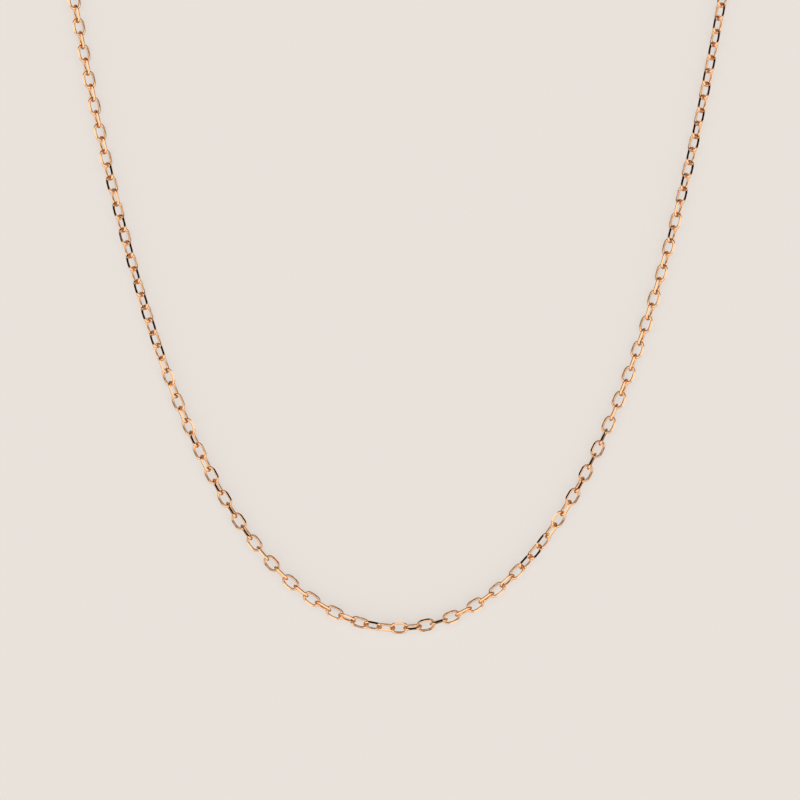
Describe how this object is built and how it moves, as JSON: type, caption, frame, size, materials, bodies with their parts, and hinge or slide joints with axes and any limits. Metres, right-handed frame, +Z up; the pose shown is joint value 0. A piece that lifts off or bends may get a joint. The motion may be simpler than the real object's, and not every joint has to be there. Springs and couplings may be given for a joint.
{
  "type": "chain necklace",
  "caption": "Fine diamond-cut cable chain necklace in rose gold with a lobster clasp and an end ring, lying open and flat.",
  "frame": {"origin": "centre of the bounding box on the table that the necklace lies on", "axes": "+Z up from the table, +Y from the lowest point of the necklace towards the clasp, +X to the wearer-side right end that carries the end ring"},
  "size_m": [0.1154, 0.1864, 0.0034],
  "materials": {
    "chain": "polished rose gold with bright diamond-cut facets",
    "rings": "polished rose gold wire",
    "clasp_casting": "polished rose gold casting",
    "clasp_lever": "polished rose gold casting",
    "rivet": "polished pin end",
    "spring_steel": "bright spring steel"
  },
  "bodies": {
    "chain_center": {"chain_center": "chain"},
    "chain_left_01": {"chain_left_01": "chain"},
    "chain_left_02": {"chain_left_02": "chain"},
    "chain_left_03": {"chain_left_03": "chain"},
    "chain_left_04": {"chain_left_04": "chain"},
    "chain_left_05": {"chain_left_05": "chain"},
    "chain_left_06": {"chain_left_06": "chain"},
    "chain_left_07": {"chain_left_07": "chain"},
    "chain_left_08": {"chain_left_08": "chain"},
    "chain_left_09": {"chain_left_09": "chain"},
    "chain_left_10": {"chain_left_10": "chain"},
    "chain_left_11": {"chain_left_11": "chain"},
    "chain_left_12": {"chain_left_12": "chain"},
    "chain_left_13": {"chain_left_13": "chain"},
    "chain_left_14": {"chain_left_14": "chain"},
    "chain_left_15": {"chain_left_15": "chain"},
    "chain_left_16": {"chain_left_16": "chain"},
    "chain_left_17": {"chain_left_17": "chain"},
    "chain_left_18": {"chain_left_18": "chain"},
    "chain_left_19": {"chain_left_19": "chain"},
    "chain_left_20": {"chain_left_20": "chain"},
    "chain_left_21": {"chain_left_21": "chain"},
    "chain_left_22": {"chain_left_22": "chain"},
    "chain_left_23": {"chain_left_23": "chain"},
    "chain_right_01": {"chain_right_01": "chain"},
    "chain_right_02": {"chain_right_02": "chain"},
    "chain_right_03": {"chain_right_03": "chain"},
    "chain_right_04": {"chain_right_04": "chain"},
    "chain_right_05": {"chain_right_05": "chain"},
    "chain_right_06": {"chain_right_06": "chain"},
    "chain_right_07": {"chain_right_07": "chain"},
    "chain_right_08": {"chain_right_08": "chain"},
    "chain_right_09": {"chain_right_09": "chain"},
    "chain_right_10": {"chain_right_10": "chain"},
    "chain_right_11": {"chain_right_11": "chain"},
    "chain_right_12": {"chain_right_12": "chain"},
    "chain_right_13": {"chain_right_13": "chain"},
    "chain_right_14": {"chain_right_14": "chain"},
    "chain_right_15": {"chain_right_15": "chain"},
    "chain_right_16": {"chain_right_16": "chain"},
    "chain_right_17": {"chain_right_17": "chain"},
    "chain_right_18": {"chain_right_18": "chain"},
    "chain_right_19": {"chain_right_19": "chain"},
    "chain_right_20": {"chain_right_20": "chain"},
    "chain_right_21": {"chain_right_21": "chain"},
    "chain_right_22": {"chain_right_22": "chain"},
    "chain_right_23": {"chain_right_23": "chain"},
    "chain_right_24": {"chain_right_24": "chain"},
    "clasp_ring": {"clasp_ring": "rings"},
    "clasp": {"clasp_body": "clasp_casting", "clasp_rivet": "rivet", "clasp_spring": "spring_steel"},
    "clasp_lever": {"clasp_lever": "clasp_lever"},
    "end_connector_ring": {"end_connector_ring": "rings"},
    "end_ring": {"end_ring": "rings"}
  },
  "joints": [
    {"name": "clasp_ring_swing", "type": "hinge", "parent": "chain_left_23", "child": "clasp_ring", "pos_m": [-0.01525, 0.08731, 0.00106], "axis": [0.372, -0.9275, -0.0359], "range_deg": [-45, 45]},
    {"name": "clasp_swivel", "type": "hinge", "parent": "clasp_ring", "child": "clasp", "pos_m": [-0.01334, 0.08808, 0.00125], "axis": [0, 0, 1], "range_deg": [-60, 60]},
    {"name": "clasp_lever_press", "type": "hinge", "parent": "clasp", "child": "clasp_lever", "pos_m": [-0.0107, 0.08962, 0.00125], "axis": [0, 0, -1], "range_deg": [0, 25], "stiffness_Nm_per_rad": 0.009, "springref_deg": -11.46, "deforming": ["clasp_spring"]},
    {"name": "end_connector_swing", "type": "hinge", "parent": "chain_right_24", "child": "end_connector_ring", "pos_m": [0.00848, 0.08949, 0.00106], "axis": [0.2637, 0.9643, -0.0245], "range_deg": [-45, 45]},
    {"name": "end_ring_swing", "type": "hinge", "parent": "end_connector_ring", "child": "end_ring", "pos_m": [0.00748, 0.08977, 0.00097], "axis": [-0.2638, -0.9646, 0], "range_deg": [-45, 45]},
    {"name": "link_bend_left_01", "type": "hinge", "parent": "chain_center", "child": "chain_left_01", "pos_m": [-0.00518, -0.0916, 0.00106], "axis": [0.2256, 0.7721, -0.5941], "range_deg": [-60, 0]},
    {"name": "link_bend_left_02", "type": "hinge", "parent": "chain_left_01", "child": "chain_left_02", "pos_m": [-0.01363, -0.08799, 0.00106], "axis": [0.5345, 0.7709, -0.3464], "range_deg": [-60, 60]},
    {"name": "link_bend_left_03", "type": "hinge", "parent": "chain_left_02", "child": "chain_left_03", "pos_m": [-0.02073, -0.08211, 0.00106], "axis": [-0.7376, -0.6738, 0.0442], "range_deg": [-60, 60]},
    {"name": "link_bend_left_04", "type": "hinge", "parent": "chain_left_03", "child": "chain_left_04", "pos_m": [-0.02655, -0.07496, 0.00106], "axis": [-0.8286, -0.5538, -0.0825], "range_deg": [-60, 60]},
    {"name": "link_bend_left_05", "type": "hinge", "parent": "chain_left_04", "child": "chain_left_05", "pos_m": [-0.03137, -0.06709, 0.00106], "axis": [0.8616, 0.454, 0.227], "range_deg": [-60, 60]},
    {"name": "link_bend_left_06", "type": "hinge", "parent": "chain_left_05", "child": "chain_left_06", "pos_m": [-0.03544, -0.05881, 0.00106], "axis": [0.8391, 0.365, 0.4035], "range_deg": [-60, 60]},
    {"name": "link_bend_left_07", "type": "hinge", "parent": "chain_left_06", "child": "chain_left_07", "pos_m": [-0.03912, -0.04982, 0.00106], "axis": [-0.4043, -0.1555, 0.9013], "range_deg": [-60, 60]},
    {"name": "link_bend_left_08", "type": "hinge", "parent": "chain_left_07", "child": "chain_left_08", "pos_m": [-0.04202, -0.04156, 0.00106], "axis": [-0.7151, -0.2305, -0.6599], "range_deg": [-60, 60]},
    {"name": "link_bend_left_09", "type": "hinge", "parent": "chain_left_08", "child": "chain_left_09", "pos_m": [-0.04488, -0.03228, 0.00106], "axis": [0.6566, 0.1929, -0.7292], "range_deg": [-60, 60]},
    {"name": "link_bend_left_10", "type": "hinge", "parent": "chain_left_09", "child": "chain_left_10", "pos_m": [-0.04719, -0.02384, 0.00106], "axis": [0.643, 0.1647, 0.748], "range_deg": [-60, 60]},
    {"name": "link_bend_left_11", "type": "hinge", "parent": "chain_left_10", "child": "chain_left_11", "pos_m": [-0.04951, -0.01441, 0.00106], "axis": [-0.7474, -0.1777, 0.6402], "range_deg": [-60, 60]},
    {"name": "link_bend_left_12", "type": "hinge", "parent": "chain_left_11", "child": "chain_left_12", "pos_m": [-0.05143, -0.00587, 0.00106], "axis": [-0.3813, -0.081, -0.9209], "range_deg": [-60, 60]},
    {"name": "link_bend_left_13", "type": "hinge", "parent": "chain_left_12", "child": "chain_left_13", "pos_m": [-0.05339, 0.00364, 0.00106], "axis": [0.907, 0.1811, -0.3803], "range_deg": [-60, 60]},
    {"name": "link_bend_left_14", "type": "hinge", "parent": "chain_left_13", "child": "chain_left_14", "pos_m": [-0.05503, 0.01224, 0.00106], "axis": [0.4614, 0.0837, 0.8832], "range_deg": [-60, 60]},
    {"name": "link_bend_left_15", "type": "hinge", "parent": "chain_left_14", "child": "chain_left_15", "pos_m": [-0.05649, 0.02184, 0.00106], "axis": [-0.8889, -0.0972, 0.4476], "range_deg": [-60, 60]},
    {"name": "link_bend_left_16", "type": "hinge", "parent": "chain_left_15", "child": "chain_left_16", "pos_m": [-0.05665, 0.03058, 0.00106], "axis": [-0.3739, 0.0268, -0.9271], "range_deg": [-60, 60]},
    {"name": "link_bend_left_17", "type": "hinge", "parent": "chain_left_16", "child": "chain_left_17", "pos_m": [-0.05544, 0.04021, 0.00106], "axis": [0.9241, -0.1678, -0.3435], "range_deg": [-60, 60]},
    {"name": "link_bend_left_18", "type": "hinge", "parent": "chain_left_17", "child": "chain_left_18", "pos_m": [-0.05311, 0.04864, 0.00106], "axis": [0.1843, -0.0694, 0.9804], "range_deg": [-60, 60]},
    {"name": "link_bend_left_19", "type": "hinge", "parent": "chain_left_18", "child": "chain_left_19", "pos_m": [-0.0492, 0.05752, 0.00106], "axis": [-0.8805, 0.4452, 0.1626], "range_deg": [-60, 60]},
    {"name": "link_bend_left_20", "type": "hinge", "parent": "chain_left_19", "child": "chain_left_20", "pos_m": [-0.04457, 0.06494, 0.00106], "axis": [-0.1697, 0.1286, -0.9771], "range_deg": [-60, 60]},
    {"name": "link_bend_left_21", "type": "hinge", "parent": "chain_left_20", "child": "chain_left_21", "pos_m": [-0.0383, 0.07234, 0.00106], "axis": [0.7156, -0.6755, -0.1779], "range_deg": [-60, 60]},
    {"name": "link_bend_left_22", "type": "hinge", "parent": "chain_left_21", "child": "chain_left_22", "pos_m": [-0.03175, 0.07814, 0.00106], "axis": [0.0679, -0.0924, 0.9934], "range_deg": [-60, 60]},
    {"name": "link_bend_left_23", "type": "hinge", "parent": "chain_left_22", "child": "chain_left_23", "pos_m": [-0.02363, 0.08345, 0.00106], "axis": [-0.5001, 0.8621, 0.0812], "range_deg": [-60, 60]},
    {"name": "link_bend_right_01", "type": "hinge", "parent": "chain_center", "child": "chain_right_01", "pos_m": [0.00352, -0.09196, 0.00106], "axis": [0.2048, -0.9787, -0.0159], "range_deg": [-60, 60]},
    {"name": "link_bend_right_02", "type": "hinge", "parent": "chain_right_01", "child": "chain_right_02", "pos_m": [0.0122, -0.08896, 0.00106], "axis": [0.4972, -0.8146, 0.2988], "range_deg": [-60, 60]},
    {"name": "link_bend_right_03", "type": "hinge", "parent": "chain_right_02", "child": "chain_right_03", "pos_m": [0.01993, -0.08312, 0.00106], "axis": [-0.3386, 0.3715, 0.8645], "range_deg": [-60, 60]},
    {"name": "link_bend_right_04", "type": "hinge", "parent": "chain_right_03", "child": "chain_right_04", "pos_m": [0.02593, -0.07612, 0.00106], "axis": [-0.6384, 0.4863, 0.5966], "range_deg": [-60, 60]},
    {"name": "link_bend_right_05", "type": "hinge", "parent": "chain_right_04", "child": "chain_right_05", "pos_m": [0.03089, -0.06834, 0.00106], "axis": [0.8533, -0.4978, -0.155], "range_deg": [-60, 60]},
    {"name": "link_bend_right_06", "type": "hinge", "parent": "chain_right_05", "child": "chain_right_06", "pos_m": [0.03507, -0.06011, 0.00106], "axis": [0.904, -0.4273, 0.0138], "range_deg": [-60, 60]},
    {"name": "link_bend_right_07", "type": "hinge", "parent": "chain_right_06", "child": "chain_right_07", "pos_m": [0.03865, -0.0516, 0.00106], "axis": [-0.9125, 0.3625, -0.1897], "range_deg": [-60, 60]},
    {"name": "link_bend_right_08", "type": "hinge", "parent": "chain_right_07", "child": "chain_right_08", "pos_m": [0.04163, -0.04337, 0.00106], "axis": [0.3571, -0.1183, -0.9265], "range_deg": [-60, 60]},
    {"name": "link_bend_right_09", "type": "hinge", "parent": "chain_right_08", "child": "chain_right_09", "pos_m": [0.04455, -0.03411, 0.00106], "axis": [0.8587, -0.2586, 0.4425], "range_deg": [-60, 60]},
    {"name": "link_bend_right_10", "type": "hinge", "parent": "chain_right_09", "child": "chain_right_10", "pos_m": [0.04692, -0.02568, 0.00106], "axis": [-0.5971, 0.1562, 0.7868], "range_deg": [-60, 60]},
    {"name": "link_bend_right_11", "type": "hinge", "parent": "chain_right_10", "child": "chain_right_11", "pos_m": [0.04929, -0.01627, 0.00106], "axis": [-0.7161, 0.1737, -0.6761], "range_deg": [-60, 60]},
    {"name": "link_bend_right_12", "type": "hinge", "parent": "chain_right_11", "child": "chain_right_12", "pos_m": [0.05124, -0.00774, 0.00106], "axis": [0.6503, -0.1406, -0.7466], "range_deg": [-60, 60]},
    {"name": "link_bend_right_13", "type": "hinge", "parent": "chain_right_12", "child": "chain_right_13", "pos_m": [0.05323, 0.00177, 0.00106], "axis": [0.6987, -0.1418, 0.7012], "range_deg": [-60, 60]},
    {"name": "link_bend_right_14", "type": "hinge", "parent": "chain_right_13", "child": "chain_right_14", "pos_m": [0.05489, 0.01036, 0.00106], "axis": [-0.7615, 0.1403, 0.6328], "range_deg": [-60, 60]},
    {"name": "link_bend_right_15", "type": "hinge", "parent": "chain_right_14", "child": "chain_right_15", "pos_m": [0.05651, 0.01994, 0.00106], "axis": [-0.6132, 0.0856, -0.7853], "range_deg": [-60, 60]},
    {"name": "link_bend_right_16", "type": "hinge", "parent": "chain_right_15", "child": "chain_right_16", "pos_m": [0.05693, 0.02867, 0.00106], "axis": [0.7696, 0.0321, -0.6377], "range_deg": [-60, 60]},
    {"name": "link_bend_right_17", "type": "hinge", "parent": "chain_right_16", "child": "chain_right_17", "pos_m": [0.05601, 0.03833, 0.00106], "axis": [0.6812, 0.1028, 0.7248], "range_deg": [-60, 60]},
    {"name": "link_bend_right_18", "type": "hinge", "parent": "chain_right_17", "child": "chain_right_18", "pos_m": [0.05393, 0.04683, 0.00106], "axis": [-0.5223, -0.179, 0.8338], "range_deg": [-60, 60]},
    {"name": "link_bend_right_19", "type": "hinge", "parent": "chain_right_18", "child": "chain_right_19", "pos_m": [0.05029, 0.05582, 0.00106], "axis": [-0.7871, -0.3689, -0.4944], "range_deg": [-60, 60]},
    {"name": "link_bend_right_20", "type": "hinge", "parent": "chain_right_19", "child": "chain_right_20", "pos_m": [0.04588, 0.06338, 0.00106], "axis": [0.3282, 0.2336, -0.9153], "range_deg": [-60, 60]},
    {"name": "link_bend_right_21", "type": "hinge", "parent": "chain_right_20", "child": "chain_right_21", "pos_m": [0.03984, 0.07096, 0.00106], "axis": [0.7033, 0.6254, 0.3381], "range_deg": [-60, 60]},
    {"name": "link_bend_right_22", "type": "hinge", "parent": "chain_right_21", "child": "chain_right_22", "pos_m": [0.03346, 0.07695, 0.00106], "axis": [-0.2001, -0.2558, 0.9458], "range_deg": [-60, 60]},
    {"name": "link_bend_right_23", "type": "hinge", "parent": "chain_right_22", "child": "chain_right_23", "pos_m": [0.0255, 0.08251, 0.00106], "axis": [-0.5093, -0.8206, -0.2591], "range_deg": [-60, 60]},
    {"name": "link_bend_right_24", "type": "hinge", "parent": "chain_right_23", "child": "chain_right_24", "pos_m": [0.01769, 0.08643, 0.00106], "axis": [0.0158, 0.0401, -0.9991], "range_deg": [-60, 60]}
  ]
}
